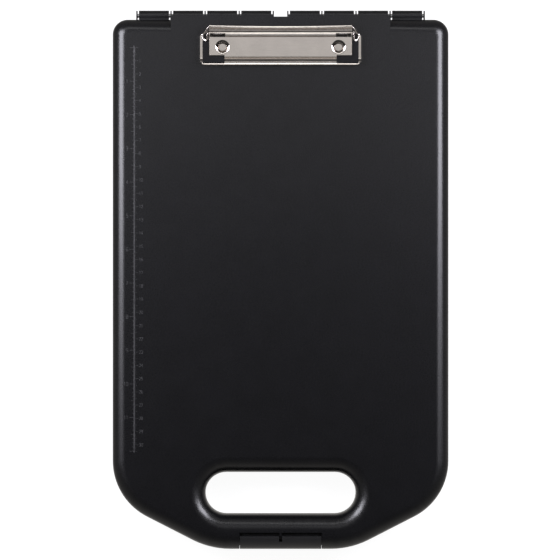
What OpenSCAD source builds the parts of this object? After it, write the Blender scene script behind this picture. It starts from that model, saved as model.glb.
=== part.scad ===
// Storage clipboard box: a shallow lid hinged along the top of a tray, a handle slot
// through both shells, a snap latch at the foot and a sprung paper clip on the lid.
// It lies on its back: +Z out of the clip face, +Y towards the hinge, z = 0 is the rest
// face. The origin is the middle of the footprint. Millimetres and degrees.

/* [Case] */
// Width of the case
case_w = 254; // [230:1:310]
// Length of the case, from the foot to the edge under the hinge
case_l = 400.4; // [340:0.2:480]
// Depth of the tray, from the rest face to the parting line
tray_h = 26; // [22:1:60]
// Depth of the lid, from the parting line to the clip face
lid_h = 12; // [11.6:0.2:16]
// Wall thickness of both shells
wall = 2.2; // [1.8:0.1:2.6]
// Radius of the rolled edge round the lid
edge_r = 10; // [9:0.2:11]
// Radius of the edge round the back of the tray
back_edge_r = 4; // [3:0.5:6]

/* [Outline] */
// Corner radius beside the hinge
head_r = 11.4; // [11.2:0.2:30]
// Corner radius where the sides turn in towards the foot
side_r = 47.4; // [30:0.2:60]
// Corner radius where the slants meet the foot
foot_r = 64; // [40:1:70]
// Width of each slanted corner at the foot
slant_w = 73.7; // [60:0.1:80]
// Height of each slanted corner at the foot
slant_h = 37.7; // [30:0.1:45]

/* [Handle slot] */
// Length of the hand slot
slot_l = 114; // [95:1:130]
// Width of the hand slot
slot_w = 32; // [26:1:36]
// Distance from the foot to the middle of the slot
slot_from_foot = 42.2; // [38:0.2:60]
// Radius of the flare round the slot in the lid
mouth_r = 11.8; // [9:0.2:11.8]

/* [Case hinge] */
// Distance from the case edge to the hinge axis
hinge_out = 3; // [2.8:0.1:3.4]
// Outer radius of the hinge barrels
barrel_r = 4; // [3.8:0.1:4.4]
// Diameter of the two hinge rods
rod_d = 2.9; // [2:0.1:3.2]
// Distance between neighbouring hinge ears
ear_pitch = 25.8; // [22:0.1:28]
// Distance from the middle of the case to the inner ears
ear_start = 5.5; // [4:0.1:8]
// Thickness of each ear
ear_t = 1; // [0.8:0.1:1.6]
// Free gap on each side of an ear
ear_gap = 1.05; // [0.6:0.05:1.3]

/* [Latch] */
// Width of the latch
latch_w = 61.6; // [50:0.2:70]
// Thickness of the latch
latch_t = 2.2; // [1.8:0.1:2.6]
// Free gap between the latch and the recess it lies in
latch_gap = 0.4; // [0.3:0.05:0.6]
// Width of the finger groove behind the latch lip
groove_w = 2.8; // [2:0.1:5]
// Diameter of the latch pin
latch_pin_d = 2.2; // [1.6:0.1:2.4]

/* [Clip] */
// Width of the clip jaw
jaw_w = 122; // [116:1:134]
// Length of the clip from its front rim to its lever edge
clip_l = 29.9; // [29.5:0.1:32]
// Distance from each end of the jaw to the lever at its back
lever_in = 6.75; // [6:0.25:7.5]
// Distance from the clip's lever edge to the case edge
clip_from_head = 4.8; // [3.5:0.1:12]
// Thickness of the clip's sheet steel
sheet_t = 1; // [0.8:0.1:1.1]
// Diameter of the clip's hinge rod
clip_rod_d = 2.4; // [1.8:0.1:2.6]
// Distance from each end of the jaw to the rivet beside it
rivet_in = 17.2; // [15.4:0.1:22]

/* [Hidden] */

// Colours
plastic = [0.13, 0.13, 0.135];
steel = [0.62, 0.62, 0.64];
nickel = [0.80, 0.77, 0.74];
rubber = [0.10, 0.10, 0.11];

// Heights and ends of the case
case_h = tray_h + lid_h;
total_l = case_l + hinge_out + barrel_r;
foot_y = -total_l / 2;
head_y = foot_y + case_l;
hinge_y = head_y + hinge_out;
parting_gap = 0.2;
eps = 0.01;
disc_facets = 96;
roll_steps = 8;

// Outline corners on the right-hand side: [x, y, radius]
slant_a = atan(slant_h / slant_w);
CORNERS = [
    [case_w / 2 - head_r, head_y - head_r, head_r],
    [case_w / 2 - side_r, foot_y + slant_h + side_r * tan((90 - slant_a) / 2), side_r],
    [case_w / 2 - slant_w - foot_r * tan(slant_a / 2), foot_y + foot_r, foot_r]
];

// Clearances: parts that turn, parts pressed or seated, and the lid's barrels in the tray
running = 0.05;
seated = 0.02;
barrel_clear = 0.3;

// Case hinge: thin ears on the tray between long barrels on the lid
ears_per_side = 5;
barrels_per_side = ears_per_side - 1;
barrel_start = ear_start + ear_pitch / 2;
barrel_l = ear_pitch - ear_t - 2 * ear_gap;
ear_r = barrel_r - 0.1;
ear_end = ear_start + barrels_per_side * ear_pitch;
ear_foot_h = 5.8;
rod_l = ear_end - ear_start + ear_t;

// Raised deck at the back of the lid, over the inner barrels, with pockets in its back
deck_w = 2 * (ear_end - ear_pitch);
deck_y = hinge_y + 0.1;
deck_run = 20;
deck_notch_w = 10;
deck_notch_l = 1.1;
deck_pocket_z = tray_h + barrel_r + 1.2;

// Handle slot
slot_r = slot_w / 2;
slot_y = foot_y + slot_from_foot;
slot_half = slot_l / 2 - slot_r;

// Rim of the tray, which stands inside the lid
rim_t = 1.2;
rim_h = 1.5;
rim_root = 4;
rim_inset = wall + 0.4;

// Latch: its outside follows the case and its lip hooks over the lid's rolled edge
recess = latch_t + latch_gap;
recess_w = latch_w + 2 * latch_gap;
recess_wall_w = recess_w + 2 * wall;
lip_y = foot_y + edge_r - 0.2;
groove_y = lip_y + groove_w;
latch_pivot_y = foot_y + 2.9;
latch_pivot_z = 4.2;
latch_barrel_r = 2.6;
latch_foot_z = latch_pivot_z - 0.6;
pocket_l = latch_pivot_y - foot_y + latch_barrel_r + latch_gap;
pocket_h = 8;
bead_r = 0.8;
bead_l = 40;
bead_z = tray_h + 1.6;
notch_w = 2.4;
notch_l = 4;
rib_w = 1.6;

// Clip: all heights below are counted from the face of the lid
clip_back = head_y - clip_from_head;
clip_front = clip_back - clip_l;
clip_rod_y = clip_back - 6.1;
clip_rod_h = 4.6;
rest_gap = 0.25;
shelf_h = 4.4;
shelf_y = clip_front + 3.2;
plate_h = 7;
plate_y = clip_front + 6.2;
plate_w = jaw_w - 16;
plate_end = clip_rod_y - 2.3;
flank_end = clip_front + 21.6;
flank_open_y = clip_front + 19.2;
jaw_corner_r = 2.3;
lever_w = jaw_w - 2 * lever_in;
ridge_r = 3.3;
lever_h = 8.8;
arm_t = 0.9;
cap_r = 2.6;
spring_slot_w = 11.6;
spring_slot_l = 2.2;

// Rivets, and the openings in the jaw over them
rivet_x = jaw_w / 2 - rivet_in;
rivet_y = clip_front + 13.2;
window_y = clip_front + 13.9;
window_r = 5.2;

// Base plate under the jaw, with an upright lug at each end of the rod
base_w = lever_w + 3.3;
base_waist_w = 2 * rivet_x + 16;
base_nose_w = 2 * rivet_x - 7.6;
base_front = clip_front + 3;
base_waist_y = clip_front + 8.4;
base_tail_y = clip_front + 19.6;
base_back = clip_rod_y + 3;
lug_r = 2.4;
clip_rod_l = base_w + 1.4;

// Torsion springs round the clip's rod: one leg on the base plate, one under the lever
wire_r = 0.4;
wire_sides = 8;
coil_r = clip_rod_d / 2 + wire_r + 0.08;
coil_turns = 8;
coil_pitch = 0.86;
coil_steps = 14;
coil_x = rivet_x + 6.8;
front_leg = [[-7.5, wire_r + sheet_t + 0.05 - clip_rod_h], [-6.6, wire_r + sheet_t + 0.1 - clip_rod_h]];
back_leg = [[1.9, -1.5], [3.4, -0.5], [4.4, 0.7]];

// Rubber grips, set in L-shaped windows in the jaw's front corners
grip_out = jaw_w / 2 - 2.2;
grip_side_w = 5;
grip_side_l = 16.3;
grip_front_w = 16.5;
grip_front_l = 5.7;
grip_y = clip_front + 1.6;
grip_fit = 0.1;
grip_gap = 0.1;
grip_h = 5.4;
grip_flange = 0.6;

// Rivets and the washers under the lid
rivet_head_r = 4.5;
rivet_flat_r = 2.9;
rivet_head_h = 2;
rivet_r = 1.9;
rivet_tail_r = 3.2;
rivet_tail_h = 1.4;
washer_r = 5;
washer_t = 1;

// Points on an arc, as [x, y]
function arc(cx, cy, r, from, to, steps) =
    [for (i = [0:steps]) let (a = from + (to - from) * i / steps) [cx + r * cos(a), cy + r * sin(a)]];

// Prism along X, w wide about x, of a section drawn as [y, z]
module across(w, x = 0)
    translate([x - w / 2, 0, 0]) rotate([90, 0, 90]) linear_extrude(w) children();

// Rod along X from x0 to x1
module bar(x0, x1, y, z, r)
    translate([x0, y, z]) rotate([0, 90, 0]) cylinder(h = x1 - x0, r = r, $fn = 48);

// Box from its lowest corner to its highest
module block(low, high)
    translate(low) cube(high - low);

// Puts the children on both sides, the left one mirrored
module both_sides()
    for (side = [0, 1]) mirror([side, 0, 0]) children();

// Slab with the case's outline set in by inset; its top edge is rolled over if roll > 0
module outline_slab(inset, z0, z1, roll = 0, steps = roll_steps)
    hull() for (c = CORNERS, side = [-1, 1])
        translate([side * c.x, c.y, z0]) rotate_extrude($fn = disc_facets)
            polygon(concat(
                [[0, 0], [c.z - inset, 0]],
                roll > 0 ? arc(c.z - inset - roll, z1 - z0 - roll, roll, 0, 90, steps)
                    : [[c.z - inset, z1 - z0]],
                [[0, z1 - z0]]));

// The same slab with the rolled edge underneath
module tub_slab(inset, z0, z1, roll)
    translate([0, 0, z0 + z1]) mirror([0, 0, 1]) outline_slab(inset, z0, z1, roll, roll_steps / 2);

// Sweeps a profile, drawn as [distance from the slot's middle, height], round the slot
module round_slot() translate([0, slot_y, 0]) {
    for (turn = [0, 180]) rotate([0, 0, turn]) {
        translate([slot_half, 0, 0]) rotate([0, 0, -90]) rotate_extrude(angle = 180, $fn = 96) children();
        translate([-slot_half, 0, 0]) rotate([90, 0, 90]) linear_extrude(2 * slot_half) children();
    }
}

// Half section of the slot's flared mouth in the lid, the wall set back by inset
module lid_mouth(inset, z0, z1) difference() {
    translate([0, z0]) square([slot_r + mouth_r, z1 - z0]);
    translate([slot_r + mouth_r, case_h - mouth_r]) circle(mouth_r - inset, $fn = 96);
    translate([slot_r + inset, z0 - 1]) square([mouth_r, case_h - mouth_r - z0 + 1]);
}

// Half section of the slot in the tray, flared at the back
module tray_mouth() difference() {
    translate([0, -1]) square([slot_r + back_edge_r, tray_h + 2]);
    translate([slot_r + back_edge_r, back_edge_r]) circle(back_edge_r, $fn = 96);
    translate([slot_r, back_edge_r]) square([back_edge_r + 1, tray_h + 2]);
}

// Section of the foot edge as [y, z], from the case surface set in by inset to y_in
module foot_section(inset, y_in, z0) {
    roll_z = case_h - edge_r;
    translate([foot_y + inset, z0]) square([y_in - foot_y - inset, roll_z - z0]);
    intersection() {
        translate([foot_y + edge_r, roll_z]) circle(edge_r - inset, $fn = 96);
        translate([foot_y, roll_z]) square([min(edge_r, y_in - foot_y), edge_r]);
    }
    if (y_in > foot_y + edge_r)
        translate([foot_y + edge_r, roll_z]) square([y_in - foot_y - edge_r, edge_r - inset]);
}

// Cut that lets the latch lie flush with the case
module latch_recess()
    across(recess_w) difference() {
        translate([foot_y - 1, latch_foot_z]) square([groove_y - foot_y + 1, case_h]);
        foot_section(recess, groove_y + 1, 0);
    }

// Cylinders on the hinge axis, count on each side, the first one centred at first
module hinge_row(r, l, count, first)
    for (side = [-1, 1], i = [0:count - 1]) {
        x = side * (first + i * ear_pitch);
        bar(x - l / 2, x + l / 2, hinge_y, tray_h, r);
    }

// Boxes behind the hinge barrels, one per barrel, set in by inset at each end
module barrel_boxes(inset, count, y0, y1, z0, z1)
    for (side = [-1, 1], i = [0:count - 1]) {
        x = side * (barrel_start + i * ear_pitch);
        block([x - barrel_l / 2 + inset, y0, z0], [x + barrel_l / 2 - inset, y1, z1]);
    }

// Low rim inside the parting line, left off at the hinge and the latch
module tray_rim() difference() {
    intersection() {
        difference() {
            outline_slab(rim_inset, wall, tray_h + rim_h);
            outline_slab(rim_inset + rim_t, 0, tray_h + rim_h + 1);
        }
        block([-case_w / 2, foot_y, tray_h - rim_root], [case_w / 2, head_y - 2 * head_r, tray_h + rim_h]);
    }
    block([-recess_wall_w / 2 - 1, foot_y, tray_h - parting_gap],
        [recess_wall_w / 2 + 1, foot_y + recess + 3 * wall, tray_h + 2 * rim_h]);
}

// Thin walls that join the rim to the tray's wall
module rim_ledge() intersection() {
    difference() {
        outline_slab(wall - 0.2, wall, tray_h - parting_gap);
        outline_slab(rim_inset + 0.2, 0, tray_h);
    }
    block([-case_w / 2, foot_y, tray_h - rim_root], [case_w / 2, head_y - 2 * head_r, tray_h]);
}

// Thin hinge ears, each with its foot on the tray's back wall
module hinge_ears() {
    hinge_row(ear_r, ear_t, ears_per_side, ear_start);
    for (side = [-1, 1], i = [0:ears_per_side - 1]) {
        x = side * (ear_start + i * ear_pitch);
        block([x - ear_t / 2, head_y - wall, tray_h - ear_foot_h - 0.6],
            [x + ear_t / 2, hinge_y - 1, tray_h - 0.6]);
    }
}

// Deep shell with the hinge ears and the pocket for the latch's pivot
module back_tray() color(plastic) difference() {
    union() {
        difference() {
            tub_slab(0, 0, tray_h - parting_gap, back_edge_r);
            tub_slab(wall, wall, tray_h + 1, back_edge_r - 1);
        }
        tray_rim();
        rim_ledge();
        intersection() {
            round_slot() square([slot_r + wall, tray_h - parting_gap]);
            block([-case_w / 2, foot_y, 1], [case_w / 2, head_y, tray_h - parting_gap]);
        }
        block([-recess_wall_w / 2, foot_y + wall / 2, back_edge_r],
            [recess_wall_w / 2, foot_y + recess + wall, tray_h - parting_gap]);
        block([-recess_wall_w / 2, foot_y + wall, 1],
            [recess_wall_w / 2, foot_y + pocket_l + wall, pocket_h + wall]);
        hinge_ears();
    }
    round_slot() tray_mouth();
    hinge_row(barrel_r + barrel_clear, barrel_l + 2 * barrel_clear, barrels_per_side, barrel_start);
    hinge_row(rod_d / 2 + seated, 4 * ear_t, ears_per_side, ear_start);
    latch_recess();
    block([-recess_w / 2, foot_y - 1, -1], [recess_w / 2, foot_y + pocket_l, pocket_h]);
    bar(-recess_wall_w / 2 - eps, recess_wall_w / 2 + eps, latch_pivot_y, latch_pivot_z,
        latch_pin_d / 2 + seated);
}

// Outer skin of the lid, with the raised deck over the hinge
module lid_shell() difference() {
    union() {
        outline_slab(0, tray_h, case_h, edge_r);
        block([-deck_w / 2, deck_y - deck_run, case_h - edge_r], [deck_w / 2, deck_y, case_h]);
    }
    outline_slab(wall, tray_h - 1, case_h - wall, edge_r - wall);
}

// Low rib across the finger groove, in line with the latch's notch
module latch_rib() intersection() {
    across(rib_w) foot_section(0.2, groove_y + wall / 2, tray_h);
    block([-rib_w / 2, lip_y + latch_gap, case_h - recess - wall / 2],
        [rib_w / 2, groove_y + wall / 2, case_h]);
}

// Shallow shell that carries the clip, the hinge barrels and the catch for the latch
module front_lid() color(plastic) {
    difference() {
        union() {
            lid_shell();
            round_slot() lid_mouth(wall, tray_h, case_h - wall / 2);
            across(recess_wall_w) foot_section(wall / 2, groove_y + wall, tray_h);
            hinge_row(barrel_r, barrel_l, barrels_per_side, barrel_start);
            barrel_boxes(0, barrels_per_side, head_y - wall, hinge_y, tray_h, tray_h + barrel_r - 0.4);
        }
        round_slot() lid_mouth(0, tray_h - 1, case_h + 1);
        across(recess_w) foot_section(recess + wall, groove_y + wall + 1, tray_h - 1);
        latch_recess();
        bar(-bead_l / 2 - 0.4, bead_l / 2 + 0.4, foot_y + latch_t, bead_z, bead_r + 0.3);
        hinge_row(ear_r + barrel_clear, ear_t + 2 * ear_gap, ears_per_side, ear_start);
        hinge_row(rod_d / 2 + running, ear_pitch, barrels_per_side, barrel_start);
        block([-deck_notch_w / 2, deck_y - deck_notch_l, tray_h - 1],
            [deck_notch_w / 2, deck_y + 1, case_h + 1]);
        barrel_boxes(1, barrels_per_side - 1, head_y, deck_y + 1, deck_pocket_z, case_h - wall);
        for (side = [-1, 1]) translate([side * rivet_x, rivet_y, tray_h])
            cylinder(h = 2 * lid_h, r = rivet_r + seated, $fn = 48);
    }
    latch_rib();
}

// Steel rod through the ears and barrels of one half of the hinge
module hinge_rod(side) color(steel) {
    middle = side * (ear_start + ear_end) / 2;
    bar(middle - rod_l / 2, middle + rod_l / 2, hinge_y, tray_h, rod_d / 2);
}

// Latch flap with its pivot barrel, lip and snap bead
module latch() color(plastic) difference() {
    union() {
        across(latch_w) difference() {
            foot_section(0, lip_y, latch_foot_z);
            foot_section(latch_t, lip_y + 1, 0);
        }
        bar(-latch_w / 2, latch_w / 2, latch_pivot_y, latch_pivot_z, latch_barrel_r);
        bar(-bead_l / 2, bead_l / 2, foot_y + latch_t, bead_z, bead_r);
    }
    bar(-latch_w, latch_w, latch_pivot_y, latch_pivot_z, latch_pin_d / 2 + running);
    block([-notch_w / 2, lip_y - notch_l, case_h - edge_r + 1], [notch_w / 2, lip_y + 1, case_h + 1]);
}

module latch_pin() color(steel)
    bar(-recess_wall_w / 2, recess_wall_w / 2, latch_pivot_y, latch_pivot_z, latch_pin_d / 2);

// Flat steel plate with a lug turned up at each end of the rod
module clip_base_plate() color(nickel) translate([0, 0, case_h]) difference() {
    union() {
        block([-base_nose_w / 2, base_front, 0], [base_nose_w / 2, base_back, sheet_t]);
        block([-base_waist_w / 2, base_waist_y, 0], [base_waist_w / 2, base_back, sheet_t]);
        block([-base_w / 2, base_tail_y, 0], [base_w / 2, base_back, sheet_t]);
        both_sides() {
            bar(base_w / 2 - sheet_t, base_w / 2, clip_rod_y, clip_rod_h, lug_r);
            block([base_w / 2 - sheet_t, clip_rod_y - lug_r, 0],
                [base_w / 2, clip_rod_y + lug_r, clip_rod_h]);
        }
    }
    bar(-base_w, base_w, clip_rod_y, clip_rod_h, clip_rod_d / 2 + seated);
    both_sides() translate([rivet_x, rivet_y, -1])
        cylinder(h = 4, r = rivet_r + seated, $fn = 48);
}

// Low part of the jaw in plan, with round front corners, set in by inset
module jaw_plan(inset) {
    r = jaw_corner_r - inset;
    half = jaw_w / 2 - inset;
    for (side = [-1, 1]) translate([side * (half - r), clip_front + inset + r]) circle(r, $fn = 48);
    translate([r - half, clip_front + inset]) square([2 * (half - r), flank_end - clip_front]);
    translate([-half, clip_front + inset + r]) square([2 * half, flank_end - clip_front - r]);
}

// Raised plate of the jaw with a sloping front, set in by inset
module jaw_plate(inset) {
    low = shelf_h - sheet_t - (inset > 0 ? 1 : 0);
    tail = plate_end + inset;
    half = plate_w / 2 - inset;
    hull() {
        block([-half - 0.4, shelf_y + inset, low], [half + 0.4, tail, shelf_h - inset]);
        block([-half, plate_y + 0.4 * inset, low], [half, tail, plate_h - inset]);
    }
}

// Section of the jaw behind its plate, as [y, height] from the rod: ridge, valley and lever
module jaw_tail_section() translate([clip_rod_y, clip_rod_h]) {
    plate_top = plate_h - clip_rod_h;
    difference() {
        union() {
            circle(ridge_r, $fn = 72);
            translate([-2.8, plate_top - sheet_t]) square([2.8, sheet_t]);
        }
        circle(ridge_r - sheet_t, $fn = 72);
        translate([-2 * ridge_r, -2 * ridge_r]) square([4 * ridge_r, 2 * ridge_r + 0.4]);
    }
    lever_top = lever_h - clip_rod_h;
    polygon([
        [2, 2.4], [2.7, 1.9], [3.5, 1.95], [4.9, 3.3], [5.6, lever_top], [6.1, lever_top],
        [6.1, lever_top - sheet_t], [5.5, 2.5], [4.2, 1.05], [3.3, 0.9], [2, 1.9]
    ]);
}

// L-shaped plan of a window for a rubber grip on the right-hand side, set in by inset
module grip_plan(inset) {
    translate([grip_out - grip_side_w + inset, grip_y + inset])
        square([grip_side_w - 2 * inset, grip_side_l - 2 * inset]);
    translate([grip_out - grip_front_w + inset, grip_y + inset])
        square([grip_front_w - 2 * inset, grip_front_l - 2 * inset]);
}

// Curved arm from the back of a flank to the corner of the lever
module jaw_arm() {
    flank = [jaw_w / 2 - arm_t, flank_end - 1];
    middle = [jaw_w / 2 - 2.6, clip_rod_y + 1];
    corner = [lever_w / 2 - arm_t, clip_back - 1.4];
    hull() {
        block([flank.x, flank.y, 2], [flank.x + arm_t, flank.y + 1, shelf_h]);
        block([middle.x, middle.y, 3.6], [middle.x + arm_t, middle.y + 1, 6]);
    }
    hull() {
        block([middle.x, middle.y, 3.6], [middle.x + arm_t, middle.y + 1, 6]);
        block([corner.x, corner.y, lever_h - 1.6], [corner.x + arm_t, corner.y + 1.2, lever_h - 0.3]);
    }
}

// Sheet steel jaw: low shelf with a turned-down rim, raised plate, ridge over the rod, lever
module clip_jaw() color(nickel) translate([0, 0, case_h]) difference() {
    union() {
        difference() {
            union() {
                translate([0, 0, rest_gap]) linear_extrude(shelf_h - rest_gap) jaw_plan(0);
                jaw_plate(0);
            }
            translate([0, 0, -1]) linear_extrude(shelf_h - sheet_t + 1) jaw_plan(sheet_t);
            jaw_plate(sheet_t);
        }
        across(lever_w) jaw_tail_section();
        both_sides() {
            bar(lever_w / 2 - sheet_t, lever_w / 2, clip_rod_y, clip_rod_h, cap_r);
            jaw_arm();
        }
    }
    bar(-lever_w, lever_w, clip_rod_y, clip_rod_h, clip_rod_d / 2 + running);
    both_sides() {
        linear_extrude(2 * plate_h) grip_plan(0);
        translate([rivet_x, window_y, 0]) cylinder(h = 2 * plate_h, r = window_r, $fn = 64);
        block([plate_w / 2 + 0.4, flank_open_y, -1], [jaw_w / 2 - sheet_t, flank_end + 1, shelf_h + eps]);
        block([lever_w / 2 - sheet_t - spring_slot_w, clip_rod_y - 2, clip_rod_h],
            [lever_w / 2 - sheet_t, clip_rod_y - 2 + spring_slot_l, 2 * plate_h]);
    }
}

module clip_rod() color(steel)
    bar(-clip_rod_l / 2, clip_rod_l / 2, clip_rod_y, case_h + clip_rod_h, clip_rod_d / 2);

// Ring of points round the path's point i, square to its neighbours' chord
function wire_ring(path, i) =
    let (a = path[max(i - 1, 0)], b = path[min(i + 1, len(path) - 1)],
        along = (b - a) / norm(b - a), out = cross(along, [1, 0, 0]),
        u = out / norm(out), v = cross(along, u))
    [for (k = [0:wire_sides - 1]) let (t = 360 * k / wire_sides)
        path[i] + wire_r * (cos(t) * u + sin(t) * v)];

// Round wire along a list of points
module wire(path) {
    n = wire_sides;
    last = len(path) - 1;
    polyhedron(
        [for (i = [0:last]) each wire_ring(path, i)],
        concat(
            [[for (k = [0:n - 1]) k]],
            [for (i = [0:last - 1], k = [0:n - 1])
                [i * n + k, (i + 1) * n + k, (i + 1) * n + (k + 1) % n, i * n + (k + 1) % n]],
            [[for (k = [n - 1:-1:0]) last * n + k]]));
}

// Torsion spring of the right-hand side: front leg, coil towards the middle, back leg
module clip_spring() color(steel) translate([0, clip_rod_y, case_h + clip_rod_h])
    wire(concat(
        [for (p = front_leg) [coil_x, p.x, p.y]],
        [for (i = [0:coil_turns * coil_steps]) let (a = 360 * i / coil_steps - 90)
            [coil_x - coil_pitch * i / coil_steps, coil_r * cos(a), coil_r * sin(a)]],
        [for (p = back_leg) [coil_x - coil_turns * coil_pitch, p.x, p.y]]));

// Rubber grip of the right-hand side, with a flange under the jaw's sheet
module rubber_grip() color(rubber) translate([0, 0, case_h + grip_gap]) {
    linear_extrude(grip_h - grip_gap) grip_plan(grip_fit);
    linear_extrude(shelf_h - sheet_t - grip_fit - grip_gap) intersection() {
        grip_plan(-grip_flange);
        jaw_plan(sheet_t + grip_fit);
    }
}

// Rivet from its flat-topped head, through base plate, lid and washer, to its tail
module rivet() color(nickel) translate([rivet_x, rivet_y, case_h]) {
    tail_top = -wall - washer_t;
    rotate_extrude($fn = 64) polygon([
        [0, tail_top - rivet_tail_h], [rivet_tail_r - 0.6, tail_top - rivet_tail_h],
        [rivet_tail_r, tail_top - rivet_tail_h + 0.5], [rivet_tail_r, tail_top], [rivet_r, tail_top],
        [rivet_r, sheet_t], [rivet_head_r, sheet_t], [rivet_head_r, sheet_t + 0.3],
        [rivet_head_r - 0.5, sheet_t + 1.2], [rivet_flat_r, sheet_t + rivet_head_h],
        [0, sheet_t + rivet_head_h]
    ]);
}

module rivet_washer() color(steel) translate([rivet_x, rivet_y, case_h - wall - washer_t])
    difference() {
        cylinder(h = washer_t, r = washer_r, $fn = 64);
        translate([0, 0, -1]) cylinder(h = washer_t + 2, r = rivet_r + seated, $fn = 48);
    }

back_tray();
front_lid();
hinge_rod(-1);  // hinge_rod_left
hinge_rod(1);  // hinge_rod_right
latch();
latch_pin();
clip_base_plate();
clip_jaw();
clip_rod();
mirror([1, 0, 0]) clip_spring();  // clip_spring_left
clip_spring();  // clip_spring_right
mirror([1, 0, 0]) rubber_grip();  // rubber_grip_left
rubber_grip();  // rubber_grip_right
mirror([1, 0, 0]) rivet();  // rivet_left
rivet();  // rivet_right
mirror([1, 0, 0]) rivet_washer();  // rivet_washer_left
rivet_washer();  // rivet_washer_right
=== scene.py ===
import math

import bmesh
import bpy
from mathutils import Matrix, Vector


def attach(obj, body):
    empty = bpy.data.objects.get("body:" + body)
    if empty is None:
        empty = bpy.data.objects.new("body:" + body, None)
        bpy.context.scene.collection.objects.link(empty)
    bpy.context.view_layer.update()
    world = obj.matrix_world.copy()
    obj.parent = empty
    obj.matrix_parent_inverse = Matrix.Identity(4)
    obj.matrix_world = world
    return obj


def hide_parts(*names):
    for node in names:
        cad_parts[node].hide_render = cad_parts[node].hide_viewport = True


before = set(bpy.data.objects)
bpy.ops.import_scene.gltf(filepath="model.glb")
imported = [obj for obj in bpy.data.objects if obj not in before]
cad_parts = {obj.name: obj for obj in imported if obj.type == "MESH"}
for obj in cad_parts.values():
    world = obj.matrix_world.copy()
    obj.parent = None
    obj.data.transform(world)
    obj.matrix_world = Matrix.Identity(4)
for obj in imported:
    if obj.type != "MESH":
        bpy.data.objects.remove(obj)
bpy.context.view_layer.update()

MM = 0.001
SIDES = ((-1, "left"), (1, "right"))

# Camera: straight down on the clip face from far away; VIEW_W fills the frame at the focus
VIEW_W = 0.42355
CAMERA_DISTANCE = 4.6
CAMERA_FOCUS = Vector((-0.00043, -0.00024, 0.03))
SENSOR = 36.0

# From here on sizes are in millimetres, as in the CAD source
FACE_Z = 38.0

# Clip, heights counted from the face of the lid
CLIP_FRONT = 162.0
ROD_Y = 185.8
SHELF_H = 4.4
PLATE_RISE = 2.6
PLATE_TOP = FACE_Z + SHELF_H + PLATE_RISE
SHEET_T = 0.9
RIVET_X = 43.8
RIVET_Y = 175.2
WINDOW_Y = 175.3
WINDOW_R = 5.5


# ---------------------------------------------------------------- mesh helpers
MERGE_GAP = 0.004
CAD_WELD_GAP = 0.002


def link(name, mesh):
    piece = bpy.data.objects.new(name, mesh)
    bpy.context.scene.collection.objects.link(piece)
    return piece


def mesh_piece(name, points, faces):
    """Object from points in millimetres and faces, with doubles merged and faces smooth."""
    bm = bmesh.new()
    verts = [bm.verts.new(Vector(p) * MM) for p in points]
    for face in faces:
        bm.faces.new([verts[i] for i in face])
    bmesh.ops.remove_doubles(bm, verts=bm.verts, dist=MERGE_GAP * MM)
    bmesh.ops.dissolve_degenerate(bm, edges=bm.edges, dist=MERGE_GAP * MM)
    loose = [v for v in bm.verts if not v.link_faces]
    bmesh.ops.delete(bm, geom=loose, context="VERTS")
    bmesh.ops.recalc_face_normals(bm, faces=bm.faces)
    for face in bm.faces:
        face.smooth = True
    mesh = bpy.data.meshes.new(name)
    bm.to_mesh(mesh)
    bm.free()
    return link(name, mesh)


def grid_faces(rows, columns, keep=lambda i, k: True):
    """Quads of a grid whose point (i, k) has the number i * columns + k."""
    return [
        (i * columns + k, (i + 1) * columns + k, (i + 1) * columns + k + 1, i * columns + k + 1)
        for i in range(rows - 1)
        for k in range(columns - 1)
        if keep(i, k)
    ]


def face_up(piece):
    """Turns the faces of an open sheet so that most of them look along +Z."""
    up = sum(p.normal.z * p.area for p in piece.data.polygons)
    if up < 0:
        piece.data.flip_normals()


def lathe(name, profile, centre, turns=64):
    """Piece turned about a vertical axis; the profile is a list of (radius, height)."""
    points, faces = [], []
    for i in range(turns):
        a = 2 * math.pi * i / turns
        for r, h in profile:
            points.append((centre[0] + r * math.cos(a), centre[1] + r * math.sin(a), centre[2] + h))
    n = len(profile)
    for i in range(turns):
        j = (i + 1) % turns
        for k in range(n - 1):
            faces.append((i * n + k, j * n + k, j * n + k + 1, i * n + k + 1))
    return mesh_piece(name, points, faces)


def modifier(piece, kind, **settings):
    made = piece.modifiers.new(kind.lower(), kind)
    for key, value in settings.items():
        setattr(made, key, value)


def thicken(piece, thickness, offset=-1, even=False):
    """Gives an open sheet its thickness, by default inwards from the drawn face."""
    modifier(piece, "SOLIDIFY", thickness=thickness * MM, offset=offset, use_even_offset=even)


def soften(piece, width, segments, angle):
    """Rounds the edges sharper than the angle and keeps the flat faces flat in the shading."""
    modifier(piece, "BEVEL", width=width * MM, segments=segments, limit_method="ANGLE",
             angle_limit=math.radians(angle))
    modifier(piece, "WEIGHTED_NORMAL", keep_sharp=True)


def crisp(piece, angle):
    """Keeps the edges sharper than the angle as hard lines in the shading."""
    modifier(piece, "EDGE_SPLIT", split_angle=math.radians(angle))
    modifier(piece, "WEIGHTED_NORMAL", keep_sharp=True)


def bake(piece):
    """Replaces the piece's mesh by the result of its modifiers."""
    graph = bpy.context.evaluated_depsgraph_get()
    mesh = bpy.data.meshes.new_from_object(piece.evaluated_get(graph), depsgraph=graph)
    piece.modifiers.clear()
    piece.data = mesh


def smooth_path(points, steps=6):
    """Catmull-Rom curve through the points."""
    out = []
    for i in range(len(points) - 1):
        a, b = Vector(points[max(i - 1, 0)]), Vector(points[i])
        c, d = Vector(points[i + 1]), Vector(points[min(i + 2, len(points) - 1)])
        for s in range(steps):
            t = s / steps
            out.append(0.5 * (2 * b + (c - a) * t + (2 * a - 5 * b + 4 * c - d) * t ** 2
                              + (3 * b - 3 * c + d - a) * t ** 3))
    out.append(Vector(points[-1]))
    return out


def paint(piece, material):
    piece.data.materials.clear()
    piece.data.materials.append(material)


def finish_piece(piece, body, material):
    paint(piece, material)
    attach(piece, body)


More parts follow.
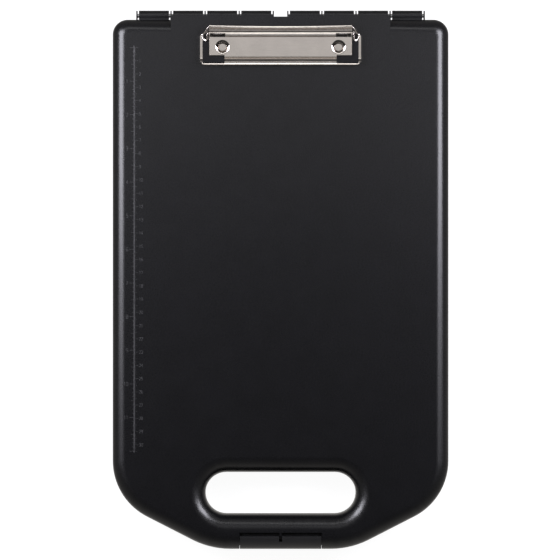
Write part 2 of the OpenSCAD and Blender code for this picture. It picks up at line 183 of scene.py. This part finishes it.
# ---------------------------------------------------------------- materials
def shader(name):
    made = bpy.data.materials.new(name)
    made.use_nodes = True
    return made, made.node_tree.nodes, made.node_tree.links, made.node_tree.nodes["Principled BSDF"]


def noise(nodes, links, scale, detail, stretch=(1, 1, 1)):
    where = nodes.new("ShaderNodeTexCoord")
    mapping = nodes.new("ShaderNodeMapping")
    mapping.inputs["Scale"].default_value = stretch
    texture = nodes.new("ShaderNodeTexNoise")
    texture.inputs["Scale"].default_value = scale
    texture.inputs["Detail"].default_value = detail
    links.new(where.outputs["Object"], mapping.inputs["Vector"])
    links.new(mapping.outputs["Vector"], texture.inputs["Vector"])
    return texture.outputs["Fac"]


NOISE_LOW = 0.3
NOISE_HIGH = 0.7
PATCH_DETAIL = 4
GRAIN_DETAIL = 3
BUMP_HEIGHT = 0.05


def ranged(nodes, links, source, old, new):
    """Maps the source from the old range to the new one."""
    made = nodes.new("ShaderNodeMapRange")
    for name, value in zip(("From Min", "From Max", "To Min", "To Max"), (*old, *new)):
        made.inputs[name].default_value = value
    links.new(source, made.inputs["Value"])
    return made.outputs["Result"]


def tint(nodes, links, source, dark, light):
    ramp = nodes.new("ShaderNodeValToRGB")
    ramp.color_ramp.elements[0].position = NOISE_LOW
    ramp.color_ramp.elements[1].position = NOISE_HIGH
    ramp.color_ramp.elements[0].color = (*dark, 1)
    ramp.color_ramp.elements[1].color = (*light, 1)
    links.new(source, ramp.inputs["Fac"])
    return ramp.outputs["Color"]


def surface(name, dark, light, rough, patch, grain, depth, metallic=0.0, specular=0.5,
            stretch=(1, 1, 1)):
    """Material with patchy colour, grainy roughness and a fine bump, all from noise."""
    made, nodes, links, bsdf = shader(name)
    bsdf.inputs["Metallic"].default_value = metallic
    bsdf.inputs["Specular IOR Level"].default_value = specular
    wide = noise(nodes, links, patch, PATCH_DETAIL)
    fine = noise(nodes, links, grain, GRAIN_DETAIL, stretch)
    links.new(tint(nodes, links, wide, dark, light), bsdf.inputs["Base Color"])
    links.new(ranged(nodes, links, fine, (NOISE_LOW, NOISE_HIGH), rough), bsdf.inputs["Roughness"])
    bump = nodes.new("ShaderNodeBump")
    bump.inputs["Strength"].default_value = depth
    bump.inputs["Distance"].default_value = BUMP_HEIGHT * MM
    links.new(fine, bump.inputs["Height"])
    links.new(bump.outputs["Normal"], bsdf.inputs["Normal"])
    return made


PLASTIC = surface("black_plastic", (0.0016, 0.0016, 0.0020), (0.0023, 0.0023, 0.0028),
                  rough=(0.25, 0.32), patch=60, grain=1900, depth=0.35, specular=0.45)
LATCH = surface("latch_plastic", (0.0080, 0.0080, 0.0084), (0.0105, 0.0105, 0.0110),
                rough=(0.28, 0.36), patch=60, grain=1900, depth=0.35, specular=0.45)
# The raised ruler marks are the same black plastic as the lid. Their lighter grey is a painted
# highlight of the light their crests catch.
MARK_HIGHLIGHT = surface("moulded_marks_painted_highlight", (0.045, 0.045, 0.047), (0.07, 0.07, 0.072),
                rough=(0.4, 0.5), patch=200, grain=2500, depth=0.2)
NICKEL = surface("satin_nickel", (0.70, 0.645, 0.60), (0.76, 0.70, 0.65),
                 rough=(0.15, 0.2), patch=90, grain=900, depth=0.12, metallic=1.0,
                 stretch=(0.05, 1, 1))
STEEL = surface("steel_wire", (0.50, 0.50, 0.51), (0.60, 0.60, 0.61),
                rough=(0.2, 0.32), patch=300, grain=2500, depth=0.2, metallic=1.0)
# Steel painted dark as painted shade: the springs, the clip rod and the base plate sit in shadow
# inside the clip, and this colour carries that shadow.
SHADED_STEEL = surface("dark_steel_painted_shade", (0.085, 0.080, 0.074), (0.13, 0.122, 0.112),
                 rough=(0.32, 0.45), patch=300, grain=2500, depth=0.2, metallic=1.0)
RUBBER = surface("black_rubber", (0.0025, 0.0025, 0.0028), (0.0042, 0.0042, 0.0046),
                 rough=(0.5, 0.62), patch=250, grain=2200, depth=0.6, specular=0.1)


def floor_material():
    """White floor that glows, so that it stays white under the dim surround."""
    made = surface("white_floor", (0.10, 0.10, 0.10), (0.12, 0.12, 0.12),
                   rough=(0.8, 0.9), patch=6, grain=120, depth=0.05)
    bsdf = made.node_tree.nodes["Principled BSDF"]
    bsdf.inputs["Emission Color"].default_value = (1, 1, 1, 1)
    bsdf.inputs["Emission Strength"].default_value = 0.95
    return made


FLOOR = floor_material()


# ---------------------------------------------------------------- camera, light, floor
# Soft boxes in metres and watts. Each side has a bright box and a wide, dim one at one place,
# and those over the middle are given as (name, place, target, size, power).
SIDE_PLACE = (0.545, 0.26, 0.53)
SIDE_TARGET = (0.12, 0.22, 0.03)
SIDE_TINT = (0.96, 0.955, 1.05)
SIDE_BOXES = [("box", (0.42, 0.44), 8.6), ("wash", (0.74, 0.44), 2.6)]
MIDDLE_BOXES = [
    ("top_box", (0, 0.25, 0.95), (0, 0.21, 0.03), (0.6, 0.29), 0.31),
    ("head_box", (0, 0.80, 0.82), (0, 0.19, 0.04), (0.9, 0.20), 1.25),
]

# Surround: (height of the direction, glow). It fades towards the head and both sides, from the
# first to the second strength between two values of the direction's part along Y or X.
SKY = [(0.0, 0.64), (0.25, 0.54), (0.5, 0.34), (0.72, 0.18), (0.9, 0.10), (1.0, 0.025)]
SKY_TINT = (1.0, 0.965, 0.925)
HEAD_FADE = ((-0.2, 0.6), (1.0, 0.45))
SIDE_FADE = ((0.3, 0.9), (1.0, 0.5))

FLOOR_HALF = 3000
FLOOR_GAP = 0.1


def camera():
    data = bpy.data.cameras.new("camera")
    data.sensor_width = SENSOR
    data.lens = SENSOR * CAMERA_DISTANCE / VIEW_W
    data.clip_start = 0.05
    data.clip_end = 50
    made = bpy.data.objects.new("camera", data)
    made.location = CAMERA_FOCUS + Vector((0, 0, CAMERA_DISTANCE))
    bpy.context.scene.collection.objects.link(made)
    bpy.context.scene.camera = made


def softbox(name, place, target, size, power, colour=(1, 1, 1)):
    data = bpy.data.lights.new(name, "AREA")
    data.shape = "RECTANGLE"
    data.size, data.size_y = size
    data.energy = power
    data.color = colour
    made = bpy.data.objects.new(name, data)
    made.location = place
    made.visible_camera = False
    made.rotation_euler = (Vector(target) - Vector(place)).to_track_quat("-Z", "Y").to_euler()
    bpy.context.scene.collection.objects.link(made)


def sky():
    """Surround that is darkest overhead, and dimmer past the head and at both sides."""
    world = bpy.data.worlds.new("studio")
    world.use_nodes = True
    nodes, links = world.node_tree.nodes, world.node_tree.links
    back = nodes["Background"]
    where = nodes.new("ShaderNodeTexCoord")
    split = nodes.new("ShaderNodeSeparateXYZ")
    ramp = nodes.new("ShaderNodeValToRGB")
    stops = ramp.color_ramp.elements
    while len(stops) < len(SKY):
        stops.new(0.5)
    for stop, (height, glow) in zip(stops, SKY):
        stop.position = height
        stop.color = (*(glow * t for t in SKY_TINT), 1)
    sideways = nodes.new("ShaderNodeMath")
    sideways.operation = "ABSOLUTE"
    both = nodes.new("ShaderNodeMath")
    both.operation = "MULTIPLY"
    links.new(where.outputs["Generated"], split.inputs["Vector"])
    links.new(split.outputs["Z"], ramp.inputs["Fac"])
    links.new(split.outputs["X"], sideways.inputs[0])
    links.new(ranged(nodes, links, split.outputs["Y"], *HEAD_FADE), both.inputs[0])
    links.new(ranged(nodes, links, sideways.outputs["Value"], *SIDE_FADE), both.inputs[1])
    links.new(ramp.outputs["Color"], back.inputs["Color"])
    links.new(both.outputs["Value"], back.inputs["Strength"])
    bpy.context.scene.world = world


def floor():
    """White plane just under the part, kept out of reflections and of bounced light."""
    turns = ((-1, -1), (1, -1), (1, 1), (-1, 1))
    corners = [(x * FLOOR_HALF, y * FLOOR_HALF, -FLOOR_GAP) for x, y in turns]
    made = mesh_piece("floor", corners, [(0, 1, 2, 3)])
    made.data.materials.append(FLOOR)
    made.visible_glossy = False
    made.visible_diffuse = False
    face_up(made)


def studio():
    sky()
    bpy.context.scene.view_settings.view_transform = "Standard"
    for side, name in SIDES:
        place = (side * SIDE_PLACE[0], *SIDE_PLACE[1:])
        target = (side * SIDE_TARGET[0], *SIDE_TARGET[1:])
        for kind, size, power in SIDE_BOXES:
            softbox(f"{name}_{kind}", place, target, size, power, SIDE_TINT)
    for name, place, target, size, power in MIDDLE_BOXES:
        softbox(name, place, target, size, power)
    floor()


# ---------------------------------------------------------------- ruler on the lid
RULER_X = -110.6
RULER_ZERO = 175.3
RULER_Z = FACE_Z - 0.05
RULER_TOP = 0.19
CREST = 0.55
SPINE_HEAD = RULER_ZERO + 1.4
SPINE_FOOT = RULER_ZERO - 305.6
SPINE_W = 0.55

# Each scale: (ticks in all, millimetres from tick to tick, side of the spine, width of a tick)
# and the length of a tick by the number that it must divide by
INCH = 25.4
CENTIMETRE = 10
INCH_TICKS = (97, INCH / 8, -1, 0.2)
INCH_LENGTHS = ((8, 3.4), (4, 2.2), (1, 1.3))
MM_TICKS = (306, 1, 1, 0.16)
MM_LENGTHS = ((10, 3.2), (5, 2.1), (1, 1.2))

# Numbers: from the spine to the text, height of a digit, width of its strokes
INCH_TEXT = (4.2, 2.6, 0.2)
INCH_DIGIT_ROOM = 1.8
CM_TEXT = (3.8, 2.2, 0.19)
DIGIT_STEP = 0.72
DIGITS = {
    "0": [[(0, 0), (1, 0), (1, 2), (0, 2), (0, 0)]],
    "1": [[(0.2, 1.6), (0.6, 2), (0.6, 0)]],
    "2": [[(0, 1.7), (0.3, 2), (1, 2), (1, 1.1), (0, 0), (1, 0)]],
    "3": [[(0, 2), (1, 2), (1, 0), (0, 0)], [(0.2, 1), (1, 1)]],
    "4": [[(0.8, 0), (0.8, 2), (0, 0.6), (1, 0.6)]],
    "5": [[(1, 2), (0, 2), (0, 1.1), (1, 1.1), (1, 0), (0, 0)]],
    "6": [[(1, 2), (0, 2), (0, 0), (1, 0), (1, 1), (0, 1)]],
    "7": [[(0, 2), (1, 2), (0.4, 0)]],
    "8": [[(0, 0), (1, 0), (1, 2), (0, 2), (0, 0)], [(0, 1), (1, 1)]],
    "9": [[(0, 0), (1, 0), (1, 2), (0, 2), (0, 1), (1, 1)]],
}


def raised_line(points, faces, a, b, width):
    """Adds a low ridge from a to b, with sloping sides up to a flat crest."""
    along = (Vector(b) - Vector(a)).normalized()
    across = Vector((-along.y, along.x)) * width / 2
    first = len(points)
    for end in (Vector(a), Vector(b)):
        for side, lift in ((1, 0), (CREST, RULER_TOP), (-CREST, RULER_TOP), (-1, 0)):
            p = end + across * side
            points.append((p.x, p.y, RULER_Z + lift))
    for k in range(3):
        faces.append((first + k, first + k + 1, first + k + 5, first + k + 4))
    faces.append((first, first + 3, first + 2, first + 1))
    faces.append((first + 4, first + 5, first + 6, first + 7))
    faces.append((first, first + 4, first + 7, first + 3))


def ticks(points, faces, scale, lengths):
    count, step, side, width = scale
    for i in range(count):
        length = next(size for every, size in lengths if i % every == 0)
        y = RULER_ZERO - i * step
        start, end = sorted((RULER_X, RULER_X + side * length))
        raised_line(points, faces, (start, y), (end, y), width)


def number(points, faces, text, x, y, size, width):
    """Adds a number with its left end at x, centred on y."""
    for n, digit in enumerate(text):
        left = x + n * size * DIGIT_STEP
        for stroke in DIGITS[digit]:
            spots = [(left + u * size / 2, y + (v - 1) * size / 2) for u, v in stroke]
            for a, b in zip(spots, spots[1:]):
                raised_line(points, faces, a, b, width)


def ruler():
    points, faces = [], []
    raised_line(points, faces, (RULER_X, SPINE_HEAD), (RULER_X, SPINE_FOOT), SPINE_W)
    ticks(points, faces, INCH_TICKS, INCH_LENGTHS)
    ticks(points, faces, MM_TICKS, MM_LENGTHS)
    gap, size, width = INCH_TEXT
    for inch in range(1, 12):
        x = RULER_X - gap - INCH_DIGIT_ROOM * len(str(inch))
        number(points, faces, str(inch), x, RULER_ZERO - INCH * inch, size, width)
    gap, size, width = CM_TEXT
    for cm in range(1, 31):
        number(points, faces, str(cm), RULER_X + gap, RULER_ZERO - CENTIMETRE * cm, size, width)
    made = mesh_piece("ruler_marks", points, faces)
    for polygon in made.data.polygons:
        polygon.use_smooth = False
    # The marks take the lighter grey that stands in for their painted highlight.
    finish_piece(made, "lid", MARK_HIGHLIGHT)


# ---------------------------------------------------------------- clip jaw, pressed sheet
# The grips are let into an L in each front corner: the leg along the front, the leg at the side
GRIP_IN = 42.3
SIDE_LEG_IN = 53.8
GRIP_OUT = 58.8
GRIP_FRONT = 1.6
GRIP_MIDDLE = 7.3
NOTCH_X = 59.3
NOTCH_Y = 2.1
JAW_HALF = 60.7

# Front corners rounded by a parabola, and flanks drawn out into rounded tips behind the plate
CORNER_X = 57
CORNER_W = 2.3
CORNER_CUT = 0.5
FLANK_START = 19.3
FLANK_REACH = 1.7
TIP_X = 59.6
TIP_W = 1.1
TIP_CUT = 0.7
JAW_LENGTH = 20.95

# Stations across half of the jaw: (x, drop below the shelf, share of the plate's rise)
JAW_X = [
    (0, 0, 1), (8, 0, 1), (16, 0, 1), (24, 0, 1), (32, 0, 1), (37, 0, 1), (GRIP_IN, 0, 1),
    (46, 0, 1), (49.5, 0, 1), (52.6, 0, 1), (53.3, 0, 1), (53.34, 0, 0), (SIDE_LEG_IN, 0, 0),
    (56.4, 0, 0), (57.8, 0.03, 0), (GRIP_OUT, 0.14, 0), (NOTCH_X, 0.08, 0), (60.0, 0.02, 0),
    (60.66, 0, 0), (JAW_HALF, 0.3, 0), (JAW_HALF, 1.4, 0), (JAW_HALF, 2.7, 0), (JAW_HALF, 4.1, 0),
]
# Stations along the jaw, from its front rim, which flares up: (distance, drop, share of the rise)
JAW_Y = [
    (0, 4.1, 0), (0, 2.7, 0), (0, 1.4, 0), (0, -0.15, 0), (0.04, -0.3, 0), (0.14, -0.4, 0),
    (0.3, -0.44, 0), (0.55, -0.38, 0), (0.95, -0.24, 0), (1.3, -0.12, 0), (GRIP_FRONT, -0.04, 0),
    (NOTCH_Y, 0.02, 0), (2.6, 0, 0), (3.2, -0.07, 0), (3.8, -0.17, 0), (4.3, -0.25, 0),
    (4.6, -0.28, 0.03), (4.8, -0.27, 0.14), (5.1, -0.16, 0.4), (5.5, -0.04, 0.76),
    (5.75, 0, 0.93), (5.95, 0, 0.985), (6.2, 0, 1), (GRIP_MIDDLE, 0, 1), (9.3, 0, 1),
    (11.8, 0, 1), (14.3, 0, 1), (16.5, 0, 1), (17.9, 0, 1), (FLANK_START, 0, 1), (20.2, 0, 1),
    (20.6, 0, 1), (JAW_LENGTH, 0.03, 1),
]
CUTTER_REACH = 3
SHEET_ANGLE = 45


def jaw_point(across, along):
    x, drop_x, rise_x = across
    y, drop_y, rise_y = along
    shift = 0
    if y < NOTCH_Y:
        shift += CORNER_CUT * max(0, (abs(x) - CORNER_X) / CORNER_W) ** 2
    if abs(x) >= GRIP_OUT and y > FLANK_START:
        tip = FLANK_REACH - TIP_CUT * max(0, (abs(x) - TIP_X) / TIP_W) ** 2
        shift += tip * (y - FLANK_START) / (JAW_LENGTH - FLANK_START)
    height = SHELF_H - drop_x - drop_y + PLATE_RISE * min(rise_x, rise_y)
    return x, CLIP_FRONT + y + shift, FACE_Z + height


def jaw_sheet():
    xs = [(-x, drop, rise) for x, drop, rise in reversed(JAW_X[1:])] + JAW_X
    points = [jaw_point(across, along) for across in xs for along in JAW_Y]

    def keep(i, k):
        x0, x1 = sorted((abs(xs[i][0]), abs(xs[i + 1][0])))
        y0, y1 = JAW_Y[k][0], JAW_Y[k + 1][0]
        front_leg = x0 >= GRIP_IN and x1 <= GRIP_OUT and y0 >= GRIP_FRONT and y1 <= GRIP_MIDDLE
        side_leg = x0 >= SIDE_LEG_IN and x1 <= GRIP_OUT and y0 >= GRIP_FRONT
        notch = x0 >= NOTCH_X and y1 <= NOTCH_Y
        return not (front_leg or side_leg or notch)

    made = mesh_piece("jaw_sheet", points, grid_faces(len(xs), len(JAW_Y), keep))
    face_up(made)
    thicken(made, SHEET_T, even=True)
    profile = [(0, -CUTTER_REACH), (WINDOW_R, -CUTTER_REACH), (WINDOW_R, CUTTER_REACH),
               (0, CUTTER_REACH)]
    cutters = [lathe("cutter", profile, (side * RIVET_X, WINDOW_Y, PLATE_TOP)) for side, _ in SIDES]
    for cutter in cutters:
        modifier(made, "BOOLEAN", operation="DIFFERENCE", object=cutter, solver="EXACT")
    bake(made)
    for cutter in cutters:
        bpy.data.objects.remove(cutter)
    crisp(made, SHEET_ANGLE)
    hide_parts("clip_jaw")
    finish_piece(made, "jaw", NICKEL)


# Dished rim of a rivet window: (inwards from the window's edge, down), and its turn in degrees
DISH = [
    (-0.15, 0.0), (0, 0.01), (0.35, 0.04), (0.7, 0.14), (1.1, 0.31), (1.5, 0.5), (1.7, 0.66),
    (1.7, 1.1),
]
DISH_FROM = -198
DISH_TO = 18
DISH_STEP = 6
DISH_FADE = 3
DISH_T = 0.4


def window_dish(name, x):
    """Dished rim pressed into the plate, full at the sides and the front and faded at its ends."""
    points = []
    turns = range(DISH_FROM, DISH_TO + 1, DISH_STEP)
    for turn in turns:
        fade = min(90, DISH_FADE * (turn - DISH_FROM), DISH_FADE * (DISH_TO - turn))
        share = math.sin(math.radians(fade))
        a = math.radians(turn)
        for inward, down in DISH:
            r = WINDOW_R - inward * share
            points.append((x + r * math.cos(a), WINDOW_Y + r * math.sin(a), PLATE_TOP - down * share))
    made = mesh_piece(name, points, grid_faces(len(turns), len(DISH)))
    face_up(made)
    thicken(made, DISH_T)
    finish_piece(made, "jaw", NICKEL)


# Outer line of the gap behind the plate, the ridge over the rod and the lever:
# (distance behind the rod, height)
TAIL = [
    (-3.3, 6.15), (-2.5, 6.45), (-2.47, 6.9), (-2.42, 7.35), (-2.34, 7.5), (-2.2, 7.56),
    (-2.0, 7.59), (-1.4, 7.63), (-0.8, 7.665), (-0.5, 7.64), (-0.35, 7.6), (0.05, 7.485),
    (0.4, 7.38), (0.58, 7.32), (0.64, 7.0), (0.7, 6.5), (0.78, 6.3), (1.0, 6.33), (1.5, 6.43),
    (2.0, 6.46), (2.6, 6.5), (3.1, 6.55), (3.28, 6.85), (3.44, 7.5), (3.58, 8.15), (3.68, 8.5),
    (3.8, 8.62), (4.02, 8.57), (4.4, 8.47), (4.8, 8.36), (5.1, 8.28), (5.3, 8.17), (5.38, 7.8),
]
LEVER_X = [0, 7, 14, 21, 28, 35, 41.65, 44.5, 47.4, 50.3, 53.25, 53.9]
LEVER_T = 0.6
LEVER_ANGLE = 62
LEVER_BOW = 0.7
BOW_START = -0.2
BOW_LENGTH = 5.4
# The springs' coils show through a slot at each end of the ridge
SLOT_IN = 41.6
SLOT_OUT = 53.3
SLOT_BACK = 0.1


def jaw_lever():
    """Ridge and lever, whose back edge bows away from the plate towards its ends."""
    xs = [-x for x in reversed(LEVER_X[1:])] + LEVER_X
    points = []
    for x in xs:
        for y, h in TAIL:
            share = min(1, max(0, (y - BOW_START) / BOW_LENGTH))
            bow = LEVER_BOW * (x / LEVER_X[-1]) ** 2 * share
            points.append((x, ROD_Y + y + bow, FACE_Z + h))

    def keep(i, k):
        inner, outer = sorted((abs(xs[i]), abs(xs[i + 1])))
        return not (SLOT_IN <= inner and outer <= SLOT_OUT and TAIL[k + 1][0] < SLOT_BACK)

    made = mesh_piece("jaw_lever", points, grid_faces(len(xs), len(TAIL), keep))
    face_up(made)
    thicken(made, LEVER_T, even=True)
    crisp(made, LEVER_ANGLE)
    finish_piece(made, "jaw", NICKEL)


# Strips that stand on edge at the jaw's right end, mirrored at its left:
# (x, distance from the front, lowest, highest)
LOOP = [
    (59.0, 22.0, 2.8, 4.6), (58.6, 21.0, 2.9, 4.8), (58.0, 19.6, 3.0, 5.1), (57.1, 18.7, 3.2, 5.4),
    (56.2, 18.6, 3.4, 5.8), (55.6, 19.4, 3.8, 6.4), (55.3, 20.8, 4.4, 6.9), (55.0, 22.6, 4.9, 7.2),
    (54.6, 24.4, 5.3, 7.4),
]
LOOP_T = 0.9
LOOP_EDGE = 0.24
ARM = [
    (59.6, 22.6, 2.2, 4.3), (58.3, 23.2, 2.8, 5.0), (57.3, 24.3, 3.6, 6.0), (56.3, 26.0, 4.8, 7.1),
    (55.3, 27.4, 5.8, 7.9), (54.0, 28.6, 6.6, 8.3),
]
ARM_T = 0.6
ARM_EDGE = 0.06


def ribbon(name, side, path, thickness, edge):
    """Sheet strip that stands on edge along the path, with rounded edges."""
    spots = smooth_path([(side * x, y, low, high) for x, y, low, high in path])
    shares = (0, 0.5, 1)
    points = []
    for x, y, low, high in spots:
        for share in shares:
            points.append((x, CLIP_FRONT + y, FACE_Z + low + (high - low) * share))
    made = mesh_piece(name, points, grid_faces(len(spots), len(shares)))
    thicken(made, thickness, offset=0)
    soften(made, edge, segments=3, angle=50)
    finish_piece(made, "jaw", NICKEL)


def jaw_sides():
    for side, name in SIDES:
        ribbon("jaw_loop_" + name, side, LOOP, LOOP_T, LOOP_EDGE)
        ribbon("jaw_arm_" + name, side, ARM, ARM_T, ARM_EDGE)
        window_dish("window_rim_" + name, side * RIVET_X)


# ---------------------------------------------------------------- rivets
# Outline from the tail under the lid, up the shank, to the domed head: (radius, height)
RIVET = [
    (0, -4.6), (2.4, -4.6), (2.9, -4.45), (3.2, -4.1), (3.2, -3.25), (3.1, -3.2), (1.9, -3.2),
    (1.9, 1.0), (4.55, 1.0), (4.65, 1.1), (4.65, 1.5), (4.6, 1.9), (4.4, 2.22), (4.1, 2.48),
    (3.7, 2.72), (3.3, 2.88), (2.9, 2.97), (2.5, 3.0), (1.2, 3.0), (0, 3.0),
]


def rivets():
    for side, name in SIDES:
        made = lathe("rivet_head_" + name, RIVET, (side * RIVET_X, RIVET_Y, FACE_Z))
        modifier(made, "WEIGHTED_NORMAL", keep_sharp=True)
        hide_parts("rivet_" + name)
        finish_piece(made, "lid", NICKEL)


# ---------------------------------------------------------------- CAD nodes kept as they are
BLOCK_ANGLE = 28
ROUND_ANGLE = 40
GRIP_EDGE = 0.35
CAD_FINISHES = [
    (PLASTIC, BLOCK_ANGLE, ["back_tray", "front_lid"]),
    (LATCH, BLOCK_ANGLE, ["latch"]),
    (STEEL, ROUND_ANGLE, ["hinge_rod_left", "hinge_rod_right", "latch_pin"]),
    (STEEL, ROUND_ANGLE, ["rivet_washer_left", "rivet_washer_right"]),
    # The clip rod, springs and base plate take the steel painted dark as painted shade.
    (SHADED_STEEL, ROUND_ANGLE, ["clip_rod", "clip_spring_left", "clip_spring_right"]),
    (SHADED_STEEL, BLOCK_ANGLE, ["clip_base_plate"]),
]


def smooth_cad(piece, angle):
    """Joins the imported facets, splits them again at real edges and shades them smooth."""
    normals = piece.data.attributes.get("custom_normal")
    if normals is not None:
        piece.data.attributes.remove(normals)
    for polygon in piece.data.polygons:
        polygon.use_smooth = True
    modifier(piece, "WELD", merge_threshold=CAD_WELD_GAP * MM)
    crisp(piece, angle)


def cad_nodes():
    for material, angle, names in CAD_FINISHES:
        for name in names:
            paint(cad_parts[name], material)
            smooth_cad(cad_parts[name], angle)
    for _, name in SIDES:
        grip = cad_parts["rubber_grip_" + name]
        paint(grip, RUBBER)
        modifier(grip, "WELD", merge_threshold=CAD_WELD_GAP * MM)
        soften(grip, GRIP_EDGE, segments=2, angle=35)


camera()
studio()
cad_nodes()
ruler()
jaw_sheet()
jaw_lever()
jaw_sides()
rivets()
